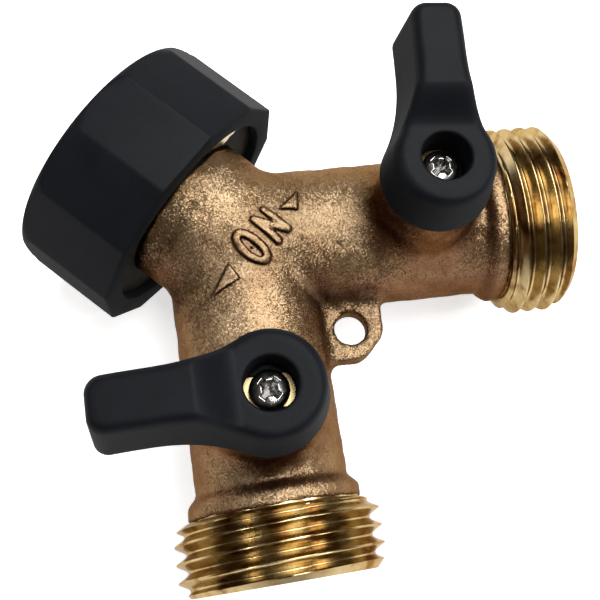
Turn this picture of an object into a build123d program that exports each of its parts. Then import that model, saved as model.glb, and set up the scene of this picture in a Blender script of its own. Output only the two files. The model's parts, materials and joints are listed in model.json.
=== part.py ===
"""Two-way brass garden-hose splitter with a swivel inlet nut and two ball valves.

Frame: +Y runs out of the inlet along its axis, +Z runs up the valve stems, and +X is to the right
when +Y is ahead and +Z is up. The origin is the middle of the inlet washer's sealing face.
The three pipe axes meet at the junction, below the origin on the Y axis. All sizes are millimetres.
"""
from build123d import *
import math
import os

# ---- Layout ----
JUNCTION_Y = -15.6          # where the three pipe axes meet
LEG_ANGLE = 44.2            # each leg's angle from -Y
STEM_REACH = 24.8           # junction to a valve stem's axis, along its leg
LEG_REACH = 45.6            # junction to an outlet's end face
LEG_HEADING = {"left": -90 - LEG_ANGLE, "right": -90 + LEG_ANGLE}
LEVER_HEADING = {"left": 136.0, "right": 39.9}   # both valves are shut with the levers this way

# ---- Garden hose thread, 3/4-11.5 ----
PITCH = 25.4 / 11.5
MALE_MAJOR_R = 13.45
MALE_ROOT_R = 12.02
FEMALE_MINOR_R = 12.40
FEMALE_ROOT_R = 13.62
CREST_FLAT = 0.30
ROOT_FLAT = 0.35
MALE_TURNS = 4
FEMALE_TURNS = 3

# ---- Cast body ----
NECK_R = 10.8
NECK_TOP_Y = -6.5           # the cast surface ends here and the machined tail starts
TAIL_R = 10.6
TAIL_END_Y = -2.4
LEG_R = 10.0
JUNCTION_R = 10.8
INLET_BORE_R = 8.0
LEG_BORE_R = 6.0
COLLAR_START, COLLAR_END, COLLAR_R = 33.5, 36.6, 11.3
END_CHAMFER = 1.1
MOUTH_R = 9.2
BOSS_BASE_R, BOSS_TOP_R, BOSS_TOP_Z = 7.5, 6.3, 19.2
LUG_HALF_T = 1.5
LUG_END_Y = JUNCTION_Y - 23.8
LUG_HALF_END = 2.3
LUG_HALF_ROOT = 7.6
LUG_HOLE_Y = JUNCTION_Y - 19.7
LUG_HOLE_R = 2.25

# ---- Raised marks, in plan from the junction ----
MARK_RAISE = 0.5            # height over the cast surface
MARK_STROKE = 0.96
RING_AT = (-1.65, -3.85)
RING_RADII = (1.05, 2.4)    # half sizes of the O, to the middle of its stroke
N_LEFT, N_RIGHT = 1.45, 3.45
N_TOP, N_BOTTOM = -1.45, -5.5
ARROWS = (
    ((-9.8, -3.3), (-5.2, -2.4), (-5.8, -4.8)),
    ((8.9, -3.1), (5.0, -3.0), (6.4, -4.9)),
)

# ---- Swivel nut ----
NUT_BACK_Y, NUT_FRONT_Y = -7.43, 7.95
NUT_FACETS = 12
NUT_CORNER_R = 18.55
NUT_FIRST_CORNER = 15.0     # angle of one corner from +Z towards +X
NUT_EDGE_FILLET = 1.2
NUT_RIM_CHAMFER = 0.7
NUT_LIP_R, NUT_LIP_START_Y = 17.85, 5.8
NUT_LIP_CHAMFER = 0.3
SHELL_HOLE_R = 15.0
SHELL_WALL = 1.5
INSERT_CORNER_R = 16.2
INSERT_FRONT_Y = 6.7
INSERT_MOUTH_R = 13.92
SHOULDER_T = 1.65
SWIVEL_CLEARANCE = 0.08
RELIEF_R = 13.7
THREAD_START_Y = 0.2

# ---- Snap ring and inlet washer ----
RING_T = 1.0
RING_TOP_Y = TAIL_END_Y - 0.8
RING_GROOVE_R = 9.5
RING_OUTER_R = 12.2
RING_GAP_ANGLE = 40.0
WASHER_R, WASHER_BORE_R = 13.2, 8.0

# ---- Ball valves ----
BALL_R = 7.8
BALL_BORE_R = 4.8
SLOT_FLOOR_Z = 6.0
SLOT_W = 2.6
CHAMBER_R = 8.4
SEAT_BORE_R = 5.0
SEAT_NEAR, SEAT_FAR = 5.1, 8.2      # a seat ring's two faces, from the stem's axis along the leg
SEAT_CLEARANCE = 0.06
RETAINER_R, RETAINER_BORE_R, RETAINER_T = 8.9, 5.2, 4.5
RETAINER_SLOT_W, RETAINER_SLOT_D = 2.2, 1.6

# ---- Stems ----
STEM_BORE_R = 4.06
STEM_R = 4.0
FLANGE_R, FLANGE_POCKET_R = 4.9, 5.0
FLANGE_BOTTOM_Z, FLANGE_TOP_Z = 8.5, 9.7
THRUST_WASHER_T = 0.5
TANG_W, TANG_HALF_L, TANG_BOTTOM_Z = 2.4, 3.5, 6.1
O_RING_Z = (13.0, 16.2)
O_RING_GROOVE_R, O_RING_SECTION_R, O_RING_GROOVE_W = 2.56, 0.73, 1.9
STEM_SHOULDER_Z, STEM_TOP_Z = 20.3, 22.0
DRIVE_R, DRIVE_HALF_FLAT = 3.0, 1.9

# ---- Handles ----
HANDLE_BASE_Z, HUB_TOP_Z, LEVER_PEAK_Z = 19.8, 27.4, 30.5
LOFT_TOP_Z = 30.7           # height of the top outline, just over the lever's peak
HUB_BASE_R, HUB_TIP_R = 7.2, 5.8
HUB_LEAVE_ANGLE = 63.0      # where the lever's flanks leave the round hub
WAIST_BASE_W, WAIST_TOP_W = 4.05, 3.15
WAIST_SHARE = 0.68          # the waist's place along the lever
FLARE_BASE_W, FLARE_TOP_W = 4.2, 2.95
FLARE_SLOPE = 0.03
TIP_CORNER_R = 1.3
LEVER_TIP_BASE, LEVER_TIP_TOP = 20.4, 19.8
LEVER_TIP_Z = 30.0
TIP_BEVEL_X, TIP_BEVEL_Z = 0.6, 0.9
RAMP_START_X, RAMP_END_X = 3.7, 8.3
RAMP_START_SLOPE, RAMP_END_SLOPE = 0.25, 0.35
WEB_TOP_Z = 22.1
COUNTERBORE_R = 3.05
HUB_RECESS_R = 4.3
CORE_START_X, CORE_END_X = 8.2, 17.2
CORE_HALF_W, CORE_ROOF_Z = 2.2, 27.0
CORE_CORNER_R = 1.0

# ---- Handle screws ----
SCREW_R, SCREW_BOTTOM_Z = 1.5, 14.5
SCREW_HEAD_R, SCREW_HEAD_TOP_Z = 2.35, 24.1
SCREW_HEAD_ROUND = 0.8
RECESS_HALF_L, RECESS_W, RECESS_D = 1.35, 0.6, 1.2

STANDING = (Align.CENTER, Align.CENTER, Align.MIN)
LEG_FRAME = {
    side: Pos(0, JUNCTION_Y, 0) * Rot(0, 0, heading) for side, heading in LEG_HEADING.items()
}


def stem_point(side):
    """The point where a valve stem's axis crosses its leg's axis."""
    heading = math.radians(LEG_HEADING[side])
    return STEM_REACH * math.cos(heading), JUNCTION_Y + STEM_REACH * math.sin(heading)


def rotor_frame(side):
    """Frame of a valve's turning parts: origin on the stem's axis, X along the lever."""
    x, y = stem_point(side)
    return Pos(x, y, 0) * Rot(0, 0, LEVER_HEADING[side])


def along_x(radius, start, end):
    """A cylinder around the X axis from x = start to x = end."""
    return Pos(start, 0, 0) * Rot(0, 90, 0) * Cylinder(radius, end - start, align=STANDING)


def along_y(radius, start, end):
    """A cylinder around the Y axis from y = start to y = end."""
    return Pos(0, start, 0) * Rot(-90, 0, 0) * Cylinder(radius, end - start, align=STANDING)


def along_z(radius, start, end):
    """A cylinder around the Z axis from z = start to z = end."""
    return Pos(0, 0, start) * Cylinder(radius, end - start, align=STANDING)


def block(x_range, y_range, z_range):
    """A box between the given limits."""
    sizes = [high - low for low, high in (x_range, y_range, z_range)]
    middles = [(high + low) / 2 for low, high in (x_range, y_range, z_range)]
    return Pos(*middles) * Box(*sizes)


def turned(profile, axis):
    """A solid of revolution from a closed list of (along, radius) points around the X or Y axis."""
    if axis == Axis.Y:
        points = [(radius, along) for along, radius in profile]
    else:
        points = profile
    return revolve(make_face(Polyline(*points, close=True)), axis)


def thread_ridges(first_crest, turns, crest_r, root_r):
    """Profile points of a ring-by-ring thread: (along, radius) for each ridge in turn."""
    flank = (PITCH - CREST_FLAT - ROOT_FLAT) / 2
    points = []
    for turn in range(turns):
        middle = first_crest + turn * PITCH
        points += [
            (middle - CREST_FLAT / 2 - flank, root_r),
            (middle - CREST_FLAT / 2, crest_r),
            (middle + CREST_FLAT / 2, crest_r),
            (middle + CREST_FLAT / 2 + flank, root_r),
        ]
    return points


# ---- Cast body ----
def outer_leg(grow=0.0):
    """The cast outside of one leg with its valve boss and collar, in the leg's own frame."""
    leg = along_x(LEG_R + grow, 0, COLLAR_START)
    boss = loft([
        Pos(STEM_REACH, 0, 0) * Circle(BOSS_BASE_R + grow),
        Pos(STEM_REACH, 0, BOSS_TOP_Z) * Circle(BOSS_TOP_R + grow),
    ])
    return leg + boss


def outlet_end():
    """The collar and the male hose thread of one outlet, in the leg's own frame."""
    first_crest = LEG_REACH - END_CHAMFER - CREST_FLAT - (MALE_TURNS - 1) * PITCH
    profile = [(COLLAR_START, 0), (COLLAR_START, LEG_R)]
    profile += [(COLLAR_END, COLLAR_R), (COLLAR_END, MALE_ROOT_R)]
    profile += thread_ridges(first_crest, MALE_TURNS, MALE_MAJOR_R, MALE_ROOT_R)[:-1]
    profile += [(LEG_REACH, MALE_ROOT_R), (LEG_REACH, 0)]
    return turned(profile, Axis.X)


def cast_outside(grow=0.0):
    """The neck, the junction and both legs as one outer shape, swollen by grow."""
    shape = along_y(NECK_R + grow, JUNCTION_Y, NECK_TOP_Y)
    shape += Pos(0, JUNCTION_Y, 0) * Sphere(JUNCTION_R + grow)
    for frame in LEG_FRAME.values():
        shape += frame * outer_leg(grow)
    return shape


def lug():
    """The flat hanging lug between the legs, without its hole."""
    slope = LUG_HALF_ROOT - LUG_HALF_END
    outline = Polyline(
        (-LUG_HALF_END, LUG_END_Y),
        (LUG_HALF_END, LUG_END_Y),
        (LUG_HALF_ROOT, LUG_END_Y + slope),
        (LUG_HALF_ROOT, JUNCTION_Y),
        (-LUG_HALF_ROOT, JUNCTION_Y),
        (-LUG_HALF_ROOT, LUG_END_Y + slope),
        close=True,
    )
    return extrude(Pos(0, 0, -LUG_HALF_T) * make_face(outline), 2 * LUG_HALF_T)


def stroke(start, end):
    """A straight raised stroke between two plan points."""
    length = math.dist(start, end)
    heading = math.degrees(math.atan2(end[1] - start[1], end[0] - start[0]))
    middle = Pos((start[0] + end[0]) / 2, (start[1] + end[1]) / 2)
    return middle * Rot(0, 0, heading) * Rectangle(length + MARK_STROKE / 2, MARK_STROKE)


def raised_marks():
    """The word ON across the junction with an arrowhead on each side of it, raised on the casting."""
    half = MARK_STROKE / 2
    ring = Ellipse(RING_RADII[0] + half, RING_RADII[1] + half)
    ring -= Ellipse(RING_RADII[0] - half, RING_RADII[1] - half)
    plan = [
        Pos(*RING_AT) * ring,
        stroke((N_LEFT, N_BOTTOM), (N_LEFT, N_TOP)),
        stroke((N_LEFT, N_TOP), (N_RIGHT, N_BOTTOM)),
        stroke((N_RIGHT, N_BOTTOM), (N_RIGHT, N_TOP)),
    ]
    plan += [make_face(Polyline(*corners, close=True)) for corners in ARROWS]
    swollen = cast_outside(MARK_RAISE)
    return [extrude(Pos(0, JUNCTION_Y) * shape, 2 * JUNCTION_R) & swollen for shape in plan]


def leg_hollows():
    """Everything that is cut out of one leg, in the leg's own frame."""
    retainer_face = STEM_REACH + SEAT_FAR
    hollows = [
        along_x(LEG_BORE_R, 0, LEG_REACH),
        along_x(CHAMBER_R, STEM_REACH - SEAT_FAR, retainer_face),
        along_x(RETAINER_R, retainer_face, retainer_face + RETAINER_T),
        along_x(MOUTH_R, retainer_face + RETAINER_T, LEG_REACH + 1),
        Pos(STEM_REACH, 0, 0) * along_z(FLANGE_POCKET_R, 0, FLANGE_TOP_Z + THRUST_WASHER_T),
        Pos(STEM_REACH, 0, 0) * along_z(STEM_BORE_R, 0, BOSS_TOP_Z + 1),
    ]
    return hollows


def make_body():
    """The brass casting with its machined tail, bores, valve chambers and outlet threads."""
    ring_low = RING_TOP_Y - RING_T
    body = cast_outside() + lug()
    body += along_y(TAIL_R, JUNCTION_Y, TAIL_END_Y)
    for mark in raised_marks():
        body += mark
    for frame in LEG_FRAME.values():
        body += frame * outlet_end()
    body -= along_y(INLET_BORE_R, JUNCTION_Y, TAIL_END_Y + 1)
    body -= Pos(0, JUNCTION_Y, 0) * Sphere(INLET_BORE_R)
    body -= along_y(TAIL_R + 1, ring_low, RING_TOP_Y) - along_y(RING_GROOVE_R, ring_low, RING_TOP_Y)
    body -= Pos(0, LUG_HOLE_Y, 0) * along_z(LUG_HOLE_R, -LUG_HALF_T - 1, LUG_HALF_T + 1)
    for frame in LEG_FRAME.values():
        for hollow in leg_hollows():
            body -= frame * hollow
    return body


# ---- Swivel nut ----
def faceted(corner_r, start, end):
    """A twelve-sided prism around the Y axis, with one corner at NUT_FIRST_CORNER from +Z towards +X."""
    prism = extrude(RegularPolygon(corner_r, NUT_FACETS), end - start)
    return Pos(0, start, 0) * Rot(0, NUT_FIRST_CORNER - 90, 0) * Rot(-90, 0, 0) * prism


def make_nut_shell():
    """The black plastic grip moulded round the insert, with a round lip and a round hole in its back wall."""
    shell = faceted(NUT_CORNER_R, NUT_BACK_Y, NUT_FRONT_Y)
    shell = fillet(shell.edges().filter_by(Axis.Y), NUT_EDGE_FILLET)
    shell = chamfer(shell.faces().sort_by(Axis.Y)[0].edges(), NUT_RIM_CHAMFER)
    lip_end = NUT_FRONT_Y - NUT_LIP_CHAMFER
    envelope = [(NUT_BACK_Y - 1, 0), (NUT_BACK_Y - 1, NUT_CORNER_R), (NUT_LIP_START_Y, NUT_CORNER_R)]
    envelope += [(lip_end, NUT_LIP_R), (NUT_FRONT_Y, NUT_LIP_R - NUT_LIP_CHAMFER), (NUT_FRONT_Y, 0)]
    shell = shell & turned(envelope, Axis.Y)
    shell -= along_y(SHELL_HOLE_R, NUT_BACK_Y - 1, NUT_BACK_Y + SHELL_WALL + 1)
    shell -= faceted(INSERT_CORNER_R, NUT_BACK_Y + SHELL_WALL, NUT_FRONT_Y + 1)
    return shell


def make_nut_insert():
    """The brass insert: a shoulder that turns on the tail, a washer relief and the female thread."""
    back = NUT_BACK_Y + SHELL_WALL
    first_crest = THREAD_START_Y + CREST_FLAT / 2
    ridges = thread_ridges(first_crest, FEMALE_TURNS, FEMALE_MINOR_R, FEMALE_ROOT_R)[1:]
    hollow = [(back - 1, 0), (back - 1, TAIL_R + SWIVEL_CLEARANCE)]
    hollow += [(back + SHOULDER_T, TAIL_R + SWIVEL_CLEARANCE), (back + SHOULDER_T, RELIEF_R)]
    hollow += [(THREAD_START_Y, RELIEF_R)]
    hollow += ridges
    hollow += [(INSERT_FRONT_Y, INSERT_MOUTH_R), (INSERT_FRONT_Y + 1, INSERT_MOUTH_R)]
    hollow += [(INSERT_FRONT_Y + 1, 0)]
    return faceted(INSERT_CORNER_R, back, INSERT_FRONT_Y) - turned(hollow, Axis.Y)


def make_snap_ring():
    """The open steel ring in the tail's groove that keeps the nut on."""
    low = RING_TOP_Y - RING_T
    ring = along_y(RING_OUTER_R, low, RING_TOP_Y) - along_y(RING_GROOVE_R, low, RING_TOP_Y)
    gap_half_w = RING_OUTER_R * math.sin(math.radians(RING_GAP_ANGLE / 2))
    return ring - block((-gap_half_w, gap_half_w), (low - 1, RING_TOP_Y + 1), (0, RING_OUTER_R + 1))


def make_inlet_washer():
    """The flat rubber washer on the end of the tail."""
    return along_y(WASHER_R, TAIL_END_Y, 0) - along_y(WASHER_BORE_R, TAIL_END_Y - 1, 1)


# ---- Valve parts that stay still, in the leg's own frame ----
def make_seat(way):
    """A seat ring on the inlet side (way -1) or the outlet side (way +1) of the ball."""
    near, far = STEM_REACH + way * SEAT_NEAR, STEM_REACH + way * SEAT_FAR
    start, end = min(near, far), max(near, far)
    corners = [(start, SEAT_BORE_R), (end, SEAT_BORE_R), (end, CHAMBER_R), (start, CHAMBER_R)]
    section = make_face(Polyline(*corners, close=True))
    section -= Pos(STEM_REACH, 0) * Circle(BALL_R + SEAT_CLEARANCE)
    return revolve(section, Axis.X)


def make_seat_retainer():
    """The screwed brass ring that holds the ball and seats in, with two spanner slots."""
    start = STEM_REACH + SEAT_FAR
    end = start + RETAINER_T
    ring = along_x(RETAINER_R, start, end) - along_x(RETAINER_BORE_R, start - 1, end + 1)
    half_w = RETAINER_SLOT_W / 2
    return ring - block((end - RETAINER_SLOT_D, end + 1), (-RETAINER_R, RETAINER_R), (-half_w, half_w))


# ---- Valve parts that turn, in the rotor's frame ----
def make_ball():
    """The plated ball: its bore runs with the lever and its drive slot runs across it."""
    ball = Sphere(BALL_R) - along_x(BALL_BORE_R, -BALL_R - 1, BALL_R + 1)
    half_w = SLOT_W / 2
    return ball - block((-half_w, half_w), (-BALL_R, BALL_R), (SLOT_FLOOR_Z, BALL_R + 1))


def make_stem():
    """The brass stem: tang, blow-out flange, grooved shank and a two-flat drive with a screw hole."""
    stem = block((-TANG_W / 2, TANG_W / 2), (-TANG_HALF_L, TANG_HALF_L), (TANG_BOTTOM_Z, FLANGE_BOTTOM_Z))
    stem += along_z(FLANGE_R, FLANGE_BOTTOM_Z, FLANGE_TOP_Z)
    stem += along_z(STEM_R, FLANGE_TOP_Z, STEM_SHOULDER_Z)
    flats = block((-DRIVE_R, DRIVE_R), (-DRIVE_HALF_FLAT, DRIVE_HALF_FLAT), (STEM_SHOULDER_Z, STEM_TOP_Z))
    stem += along_z(DRIVE_R, STEM_SHOULDER_Z, STEM_TOP_Z) & flats
    for z in O_RING_Z:
        low, high = z - O_RING_GROOVE_W / 2, z + O_RING_GROOVE_W / 2
        stem -= along_z(STEM_R + 1, low, high) - along_z(O_RING_GROOVE_R, low, high)
    return stem - along_z(SCREW_R, SCREW_BOTTOM_Z, STEM_TOP_Z + 1)


def make_stem_o_rings():
    """The two rubber O-rings in the stem's grooves."""
    ring = Torus(O_RING_GROOVE_R + O_RING_SECTION_R, O_RING_SECTION_R)
    return Compound([Pos(0, 0, z) * ring for z in O_RING_Z])


def make_stem_washer():
    """The slippery thrust washer between the stem's flange and the body."""
    top = FLANGE_TOP_Z + THRUST_WASHER_T
    return along_z(FLANGE_R, FLANGE_TOP_Z, top) - along_z(STEM_R, FLANGE_TOP_Z - 1, top + 1)


def lever_outline(hub_r, waist_w, flare_w, tip_x):
    """A handle's plan at one height: a round hub that narrows to a waist and flares to a blunt tip."""
    leave = math.radians(HUB_LEAVE_ANGLE)
    corner = TIP_CORNER_R
    leave_point = (hub_r * math.cos(leave), hub_r * math.sin(leave))
    corner_start = (tip_x - corner, flare_w)
    flank = Spline(
        leave_point,
        (WAIST_SHARE * tip_x, waist_w),
        corner_start,
        tangents=[(math.sin(leave), -math.cos(leave)), (1, FLARE_SLOPE)],
    )
    inset = corner * (1 - math.sqrt(0.5))
    rounding = ThreePointArc(corner_start, (tip_x - inset, flare_w - inset), (tip_x, flare_w - corner))
    end = Line((tip_x, flare_w - corner), (tip_x, corner - flare_w))
    upper = flank.edges() + rounding.edges()
    lower = mirror(upper, about=Plane.XZ).edges()
    hub = ThreePointArc(leave_point, (-hub_r, 0), (leave_point[0], -leave_point[1]))
    return make_face(upper + end.edges() + lower + hub.edges())


def side_profile():
    """A handle's side view: flat hub, scooped ramp, and a top that falls gently to the tip."""
    scoop = Spline(
        (RAMP_START_X, HUB_TOP_Z),
        (RAMP_END_X, LEVER_PEAK_Z),
        tangents=[(1, RAMP_START_SLOPE), (1, RAMP_END_SLOPE)],
    )
    rest = Polyline(
        (RAMP_END_X, LEVER_PEAK_Z),
        (LEVER_TIP_TOP - TIP_BEVEL_X, LEVER_TIP_Z),
        (LEVER_TIP_BASE + 1, LEVER_TIP_Z - TIP_BEVEL_Z),
        (LEVER_TIP_BASE + 1, HANDLE_BASE_Z - 1),
        (-HUB_BASE_R - 1, HANDLE_BASE_Z - 1),
        (-HUB_BASE_R - 1, HUB_TOP_Z),
        (RAMP_START_X, HUB_TOP_Z),
    )
    face = Plane.XZ * make_face(scoop.edges() + rest.edges())
    return extrude(face, HUB_BASE_R + 1, both=True)


def make_handle():
    """The black plastic lever handle, hollow under the lever, with a deep counterbore for its screw."""
    base = lever_outline(HUB_BASE_R, WAIST_BASE_W, FLARE_BASE_W, LEVER_TIP_BASE)
    top = lever_outline(HUB_TIP_R, WAIST_TOP_W, FLARE_TOP_W, LEVER_TIP_TOP)
    handle = loft([Pos(0, 0, HANDLE_BASE_Z) * base, Pos(0, 0, LOFT_TOP_Z) * top]) & side_profile()
    handle -= along_z(COUNTERBORE_R, WEB_TOP_Z, LEVER_PEAK_Z + 1)
    handle -= along_z(HUB_RECESS_R, HANDLE_BASE_Z - 1, STEM_SHOULDER_Z)
    flats = block(
        (-COUNTERBORE_R, COUNTERBORE_R),
        (-DRIVE_HALF_FLAT, DRIVE_HALF_FLAT),
        (STEM_SHOULDER_Z, WEB_TOP_Z),
    )
    handle -= along_z(COUNTERBORE_R, STEM_SHOULDER_Z, WEB_TOP_Z) & flats
    core = block(
        (CORE_START_X, CORE_END_X),
        (-CORE_HALF_W, CORE_HALF_W),
        (HANDLE_BASE_Z - 1, CORE_ROOF_Z),
    )
    return handle - fillet(core.edges().filter_by(Axis.Z), CORE_CORNER_R)


def make_handle_screw():
    """The nickel-plated pan-head screw, with a cross recess."""
    screw = along_z(SCREW_R, SCREW_BOTTOM_Z, WEB_TOP_Z)
    head = along_z(SCREW_HEAD_R, WEB_TOP_Z, SCREW_HEAD_TOP_Z)
    screw += fillet(head.edges().group_by(Axis.Z)[-1], SCREW_HEAD_ROUND)
    for turn in (45, 135):
        arm = block(
            (-RECESS_HALF_L, RECESS_HALF_L),
            (-RECESS_W / 2, RECESS_W / 2),
            (SCREW_HEAD_TOP_Z - RECESS_D, SCREW_HEAD_TOP_Z + 1),
        )
        screw -= Rot(0, 0, turn) * arm
    return screw


def make_nodes():
    """Every sub-part by name, each in its place."""
    nodes = {
        "body": make_body(),
        "nut_shell": make_nut_shell(),
        "nut_insert": make_nut_insert(),
        "nut_snap_ring": make_snap_ring(),
        "inlet_washer": make_inlet_washer(),
    }
    still = {
        "inner_seat": make_seat(-1),
        "outer_seat": make_seat(1),
        "seat_retainer": make_seat_retainer(),
    }
    turning = {
        "ball": make_ball(),
        "stem": make_stem(),
        "stem_o_rings": make_stem_o_rings(),
        "stem_washer": make_stem_washer(),
        "handle": make_handle(),
        "handle_screw": make_handle_screw(),
    }
    for side in ("left", "right"):
        for name, shape in still.items():
            nodes[f"{side}_{name}"] = LEG_FRAME[side] * shape
        for name, shape in turning.items():
            nodes[f"{side}_{name}"] = rotor_frame(side) * shape
    return nodes


os.makedirs("parts", exist_ok=True)
for node, shape in make_nodes().items():
    export_step(shape, f"parts/{node}.step")
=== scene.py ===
"""Looks of the brass hose splitter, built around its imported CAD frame.

Sizes are millimetres in the CAD's own frame: +Y runs out of the inlet and +Z up the valve stems.
Each mesh is made in millimetres and scaled to metres once, when its object is made.
"""
import json
import math

import bmesh
import bpy
import numpy as np
import openvdb
from mathutils import Matrix, Vector


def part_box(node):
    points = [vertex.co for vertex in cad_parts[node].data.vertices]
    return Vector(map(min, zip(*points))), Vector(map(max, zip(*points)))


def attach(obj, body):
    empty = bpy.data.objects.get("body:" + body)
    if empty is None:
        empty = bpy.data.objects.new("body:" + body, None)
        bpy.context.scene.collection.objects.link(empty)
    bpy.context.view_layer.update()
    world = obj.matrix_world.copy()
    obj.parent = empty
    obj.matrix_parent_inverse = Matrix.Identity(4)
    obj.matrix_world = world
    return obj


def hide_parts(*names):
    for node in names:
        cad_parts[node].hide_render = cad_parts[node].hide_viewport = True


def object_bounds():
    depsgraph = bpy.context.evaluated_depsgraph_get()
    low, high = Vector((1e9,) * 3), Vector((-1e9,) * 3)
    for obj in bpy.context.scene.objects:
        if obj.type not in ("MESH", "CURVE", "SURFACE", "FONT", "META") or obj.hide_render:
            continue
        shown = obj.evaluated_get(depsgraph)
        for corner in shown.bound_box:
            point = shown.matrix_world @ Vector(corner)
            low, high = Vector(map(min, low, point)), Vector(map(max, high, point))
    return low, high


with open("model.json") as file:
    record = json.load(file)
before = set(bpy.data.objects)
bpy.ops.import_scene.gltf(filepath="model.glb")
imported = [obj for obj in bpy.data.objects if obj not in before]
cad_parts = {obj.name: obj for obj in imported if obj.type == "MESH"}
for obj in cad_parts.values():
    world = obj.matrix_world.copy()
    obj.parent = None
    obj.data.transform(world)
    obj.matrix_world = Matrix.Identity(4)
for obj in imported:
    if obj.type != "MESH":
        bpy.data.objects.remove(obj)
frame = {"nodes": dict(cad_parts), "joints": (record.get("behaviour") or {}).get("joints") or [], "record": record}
cad_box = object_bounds()

METRES = 0.001


def mount(name):
    """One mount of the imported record."""
    return next(m for m in frame["record"]["mounts"] if m["name"] == name)


def joint(name):
    """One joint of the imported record."""
    return next(j for j in frame["joints"] if j["name"] == name)


# ---- Layout, read from the frame ----
LEG_AXIS = {side: np.array(mount(f"{side}_outlet")["axis"]) for side in ("left", "right")}
STEM_AT = {side: np.array(joint(f"{side}_valve_turn")["pos_m"]) / METRES for side in LEG_AXIS}
STEM_REACH = STEM_AT["right"][0] / LEG_AXIS["right"][0]
JUNCTION = STEM_AT["right"] - STEM_REACH * LEG_AXIS["right"]
JUNCTION_Y = JUNCTION[1]
HOLE_AT = np.array(mount("hanging_hole")["pos_m"]) / METRES

# ---- Directions ----
UP = np.array([0.0, 0.0, 1.0])
INLET_AXIS = np.array([0.0, 1.0, 0.0])
LEVER_HEADING = {"left": 136.0, "right": 39.9}      # degrees from +X, as part.py turns them

# ---- Cast body ----
NECK_R, NECK_TOP_Y, NECK_ROUNDING = 10.8, -6.2, 0.7
JUNCTION_R = 10.8
LEG_R = 10.0
SWELL_START, SWELL_END, COLLAR_END, COLLAR_R = 33.1, 35.0, 36.6, 11.3
BOSS_BASE_R, BOSS_TOP_R, BOSS_TOP_Z = 7.5, 6.3, 19.2
LEG_BLEND, BOSS_BLEND, LUG_BLEND = 1.2, 3.0, 2.0
COLLAR_ROUNDING, BOSS_ROUNDING, BORE_ROUNDING = 0.7, 0.8, 0.3
LUMP_HEIGHT, LUMP_LENGTH, LUMP_WAVES = 0.05, 2.6, 14
INLET_BORE_R, LEG_BORE_R, CHAMBER_R, STEM_BORE_R = 8.0, 6.0, 8.4, 4.06
FLANGE_POCKET_R, FLANGE_POCKET_Z = 5.0, 10.2
CHAMBER_HALF_L = 8.2
RETAINER_R, RETAINER_END = 8.9, 37.5

# ---- Hanging lug ----
LUG_HALF_T, LUG_END_Y = 1.5, HOLE_AT[1] - 4.1
LUG_HALF_END, LUG_HALF_ROOT, LUG_ROUNDING = 2.3, 7.6, 0.5
LUG_CORNER_R = 0.8
LUG_HOLE_R, LUG_HOLE_ROUNDING = mount("hanging_hole")["dims"]["r_mm"], 0.4

# ---- Raised marks, in plan from the junction ----
MARK_RAISE, MARK_HALF_W, MARK_ROUNDING, MARK_FOOT = 0.55, 0.52, 0.38, 0.3
RING_MIDDLE, RING_RADII = (-1.65, -3.45), (1.05, 2.4)
N_LEFT, N_RIGHT, N_TOP, N_BOTTOM = 1.45, 3.45, -1.45, -5.5
MARK_FINE_REACH, MARK_FINE_FROM_Z = 0.9, 0.4 * JUNCTION_R     # where the mesh is finer
ARROWS = (
    ((-9.8, -3.3), (-5.2, -2.4), (-5.8, -4.8)),
    ((8.9, -3.1), (5.0, -3.0), (6.4, -4.9)),
)

# ---- Creases, painted darker than the open surface as shade ----
CAVITY_REACHES = ((0.6, 0.4), (3.0, 0.9))       # how far out each measure looks, and its weight

# ---- Machined ends ----
LEG_REACH = 45.6
PITCH = 25.4 / 11.5
MALE_MAJOR_R, MALE_ROOT_R = 13.45, 12.02
FEMALE_MINOR_R, FEMALE_ROOT_R = 12.40, 13.62
CREST_FLAT, ROOT_FLAT = 0.20, 0.45
CREST_ROUNDING, ROOT_ROUNDING = 0.06, 0.35      # shares of the thread's height
BLANK_BACK_R, BLANK_BACK_SLOPE, BLANK_FRONT_R = 11.7, 1.8, 12.0
THREAD_SHIFT = {"left": 0.5, "right": 0.25}     # in turns
MOUTH_R, MOUTH_CHAMFER = 9.2, 0.45
TAIL_R, TAIL_END_Y, TAIL_CHAMFER = 10.6, -2.4, 0.35
TAIL_ROOT, TAIL_OVERLAP, OUTLET_OVERLAP = 1.6, 0.4, 0.6      # how far they go into the cast metal
RING_GROOVE_R, RING_GROOVE_Y, GROOVE_CHAMFER = 9.5, (-4.2, -3.2), 0.1
THREAD_STEPS = 24           # samples along the axis in one pitch
RING_STEPS = 216            # samples around the axis
LIP_STEPS = 16              # samples along the nut's rounded lip

# ---- Mesh cells, and the free room round each field's box ----
BODY_CELL, HANDLE_CELL, SCREW_CELL = 0.45, 0.26, 0.075
BODY_ROOM_BELOW, BODY_ROOM, HANDLE_ROOM, SCREW_ROOM = 1.5, 1.0, 0.6, 0.2
SETTLE_ROUNDS = 3
NO_RADIUS = 0.01            # stands for none, where a ring or a corner has to keep some size

# ---- Swivel nut ----
NUT_BACK_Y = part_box("nut_shell")[0].y / METRES
NUT_FRONT_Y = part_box("nut_shell")[1].y / METRES
NUT_FACETS = 12
CORNER_STEPS, FACET_STEPS = 8, 8    # samples across one corner's round, and one facet's flat
NUT_CORNER_R = 18.55
NUT_APOTHEM = NUT_CORNER_R * math.cos(math.pi / NUT_FACETS)
NUT_LIP_R, NUT_LIP_START_Y = 17.55, 5.4     # where the facets fade into a round lip
NUT_FIRST_CORNER = 15.0     # angle of one corner from +Z towards +X
NUT_EDGE_FILLET, NUT_BACK_FILLET = 1.2, 0.35
SHELL_HOLE_R, SHELL_WALL = 15.0, 1.5
HOLE_EDGE = ((0.3, 0.0), (0.09, 0.09), (0.0, 0.3))      # (in from the back, out from the hole)
POCKET_CHAMFER, SWIVEL_CHAMFER = 0.2, 0.2
INSERT_CORNER_R = 16.2
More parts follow.
